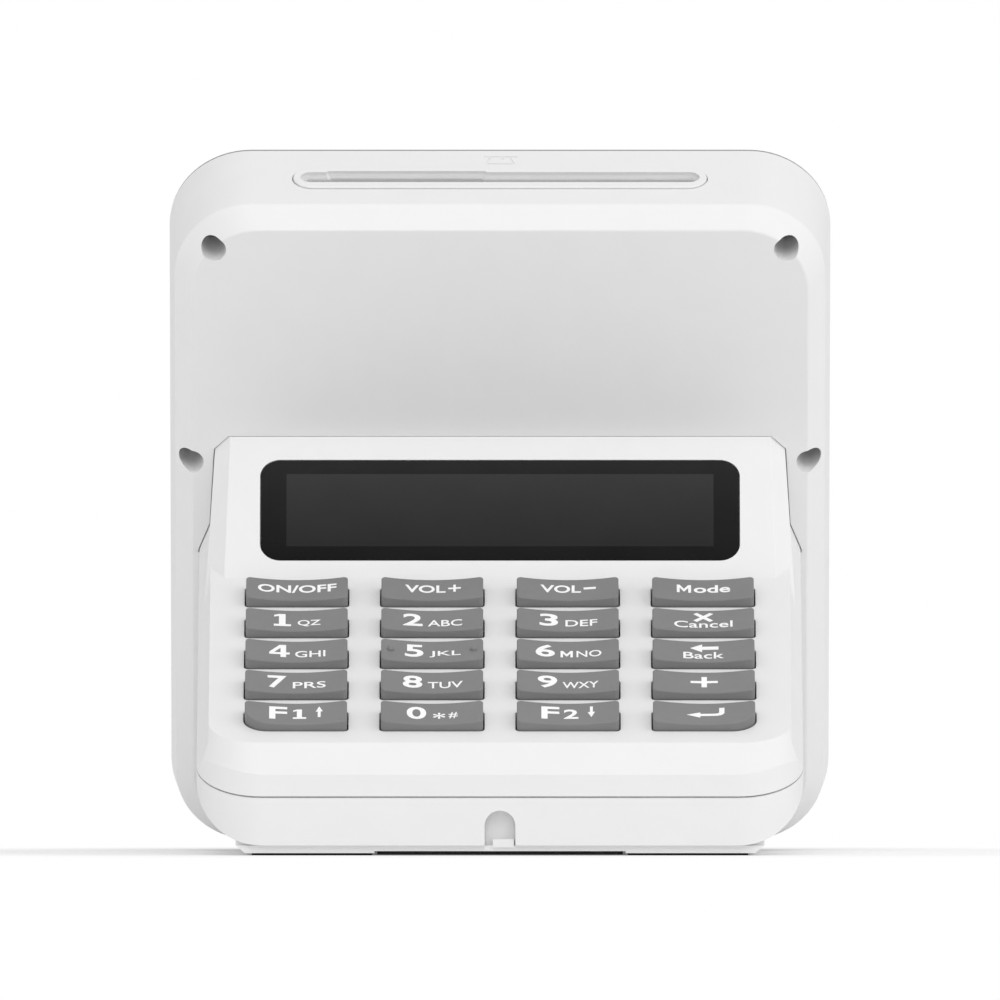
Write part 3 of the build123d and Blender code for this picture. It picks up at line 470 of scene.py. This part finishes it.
# Signs drawn as polygons that meet edge to edge, in a box from (0, 0) to (1, 1)
SIGNS = {
    "one": [
        [(0, 0), (1, 0), (1, 0.16), (0.68, 0.16), (0.3, 0.16), (0, 0.16)],
        [(0.3, 0.16), (0.68, 0.16), (0.68, 1), (0.3, 1), (0.3, 0.84)],
        [(0.3, 1), (0.02, 0.9), (0.02, 0.76), (0.3, 0.84)],
    ],
    "four": [
        [(0.55, 0), (0.82, 0), (0.82, 0.22), (0.82, 0.38), (0.82, 1), (0.55, 1), (0.55, 0.76), (0.55, 0.38),
         (0.55, 0.22)],
        [(0, 0.22), (0.55, 0.22), (0.55, 0.38), (0.23, 0.38), (0, 0.38)],
        [(0.82, 0.22), (1, 0.22), (1, 0.38), (0.82, 0.38)],
        [(0, 0.38), (0.23, 0.38), (0.55, 0.76), (0.55, 1), (0.5, 1)],
    ],
    "M": [
        [(0, 0), (0.2, 0), (0.2, 0.62), (0.2, 1), (0, 1)],
        [(0.8, 0), (1, 0), (1, 1), (0.8, 1), (0.8, 0.62)],
        [(0.2, 1), (0.2, 0.62), (0.5, 0.1), (0.5, 0.48)],
        [(0.8, 1), (0.5, 0.48), (0.5, 0.1), (0.8, 0.62)],
    ],
    "plus": [
        [(0, 0.4), (0.4, 0.4), (0.6, 0.4), (1, 0.4), (1, 0.6), (0.6, 0.6), (0.4, 0.6), (0, 0.6)],
        [(0.4, 0.6), (0.6, 0.6), (0.6, 1), (0.4, 1)],
        [(0.4, 0), (0.6, 0), (0.6, 0.4), (0.4, 0.4)],
    ],
    "minus": [[(0, 0), (1, 0), (1, 1), (0, 1)]],
    "cross": [
        [(0, 0.86), (0.34, 0.5), (0, 0.14), (0.18, 0), (0.5, 0.34), (0.82, 0), (1, 0.14), (0.66, 0.5),
         (1, 0.86), (0.82, 1), (0.5, 0.66), (0.18, 1)],
    ],
    "up": [
        [(0, 0.52), (0.3, 0.52), (0.7, 0.52), (1, 0.52), (0.5, 1)],
        [(0.3, 0), (0.7, 0), (0.7, 0.52), (0.3, 0.52)],
    ],
    "down": [
        [(0, 0.48), (0.5, 0), (1, 0.48), (0.7, 0.48), (0.3, 0.48)],
        [(0.3, 0.48), (0.7, 0.48), (0.7, 1), (0.3, 1)],
    ],
    "back": [
        [(0, 0.5), (0.42, 0), (0.42, 0.3), (0.42, 0.7), (0.42, 1)],
        [(0.42, 0.3), (1, 0.3), (1, 0.7), (0.42, 0.7)],
    ],
    "enter": [
        [(0, 0.27), (0.36, 0), (0.36, 0.17), (0.36, 0.39), (0.36, 0.54)],
        [(0.36, 0.17), (0.8, 0.17), (0.93, 0.24), (1, 0.42), (1, 1), (0.86, 1), (0.86, 0.5), (0.82, 0.42),
         (0.75, 0.39), (0.36, 0.39)],
    ],
}


class KeyTop:
    """A key's dished top: places flat drawings on it, in millimetres from the key's middle."""

    def __init__(self, node):
        self.mesh = NODES[node].data
        joint = next(j for j in frame["joints"] if j["child"] == node + "_body")
        self.out = -Vector(joint["axis"]).normalized()
        self.right = Vector((1, 0, 0))
        self.up = self.out.cross(self.right)
        rights = [v.co.dot(self.right) for v in self.mesh.vertices]
        ups = [v.co.dot(self.up) for v in self.mesh.vertices]
        self.middle = self.right * (min(rights) + max(rights)) / 2 + self.up * (min(ups) + max(ups)) / 2
        self.top = max(v.co.dot(self.out) for v in self.mesh.vertices)
        shape = bmesh.new()
        shape.from_mesh(self.mesh)
        self.tree = BVHTree.FromBMesh(shape)
        shape.free()

    def point(self, x, y, lift):
        start = self.middle + self.right * x * MM + self.up * y * MM + self.out * (self.top + MM)
        hit = self.tree.ray_cast(start, -self.out)[0]
        return hit + self.out * lift


def flat_text(body, bold):
    """Outline and faces of a text in the built-in face, drawn heavier by bold."""
    curve = bpy.data.curves.new("legend", "FONT")
    curve.body = body
    curve.offset = bold
    curve.resolution_u = 4
    holder = bpy.data.objects.new("legend", curve)
    bpy.context.scene.collection.objects.link(holder)
    bpy.context.view_layer.update()
    mesh = bpy.data.meshes.new_from_object(holder.evaluated_get(bpy.context.evaluated_depsgraph_get()))
    bpy.data.objects.remove(holder)
    bpy.data.curves.remove(curve)
    return mesh


def outlines(text, bold):
    """Points and faces of a sign or a text, on a flat sheet."""
    if text in SIGNS:
        points = [point for polygon in SIGNS[text] for point in polygon]
        faces = []
        start = 0
        for polygon in SIGNS[text]:
            faces.append(range(start, start + len(polygon)))
            start += len(polygon)
        return points, faces
    mesh = flat_text(text, bold)
    points = [(v.co.x, v.co.y) for v in mesh.vertices]
    faces = [list(polygon.vertices) for polygon in mesh.polygons]
    bpy.data.meshes.remove(mesh)
    return points, faces


def add_text(shape, text, left, right, rows):
    """Add a text to a drawing, stretched to its box."""
    height, middle = rows
    points, faces = outlines(text, BOLD if height > SMALL_HEIGHT else SLIGHTLY_BOLD)
    x_low = min(x for x, y in points)
    y_low = min(y for x, y in points)
    scale_x = (right - left) / (max(x for x, y in points) - x_low)
    scale_y = height / (max(y for x, y in points) - y_low)
    made = []
    for x, y in points:
        spot = (left + (x - x_low) * scale_x, middle - height / 2 + (y - y_low) * scale_y, 0)
        made.append(shape.verts.new(spot))
    for face in faces:
        shape.faces.new([made[i] for i in face])


def legend(node, drawing, ink):
    """Wrap a flat drawing onto a key as a thin printed layer."""
    key = KeyTop(node)
    bmesh.ops.remove_doubles(drawing, verts=drawing.verts, dist=SAME_POINT)
    made = bmesh.ops.extrude_face_region(drawing, geom=list(drawing.faces))
    raised = {v for v in made["geom"] if isinstance(v, bmesh.types.BMVert)}
    for v in drawing.verts:
        v.co = key.point(v.co.x, v.co.y, LEGEND_LIFT if v in raised else -LEGEND_SINK)
    bmesh.ops.recalc_face_normals(drawing, faces=drawing.faces)
    mesh = bpy.data.meshes.new("legend_" + node)
    drawing.to_mesh(mesh)
    drawing.free()
    mesh.materials.append(ink)
    piece = bpy.data.objects.new("legend_" + node, mesh)
    bpy.context.scene.collection.objects.link(piece)
    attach(piece, node + "_body")


def make_legends():
    ink = legend_ink()
    for node, texts in LEGENDS.items():
        drawing = bmesh.new()
        for text in texts:
            add_text(drawing, *text)
        legend(node, drawing, ink)


make_camera()
make_studio()
dress_nodes()
make_legends()
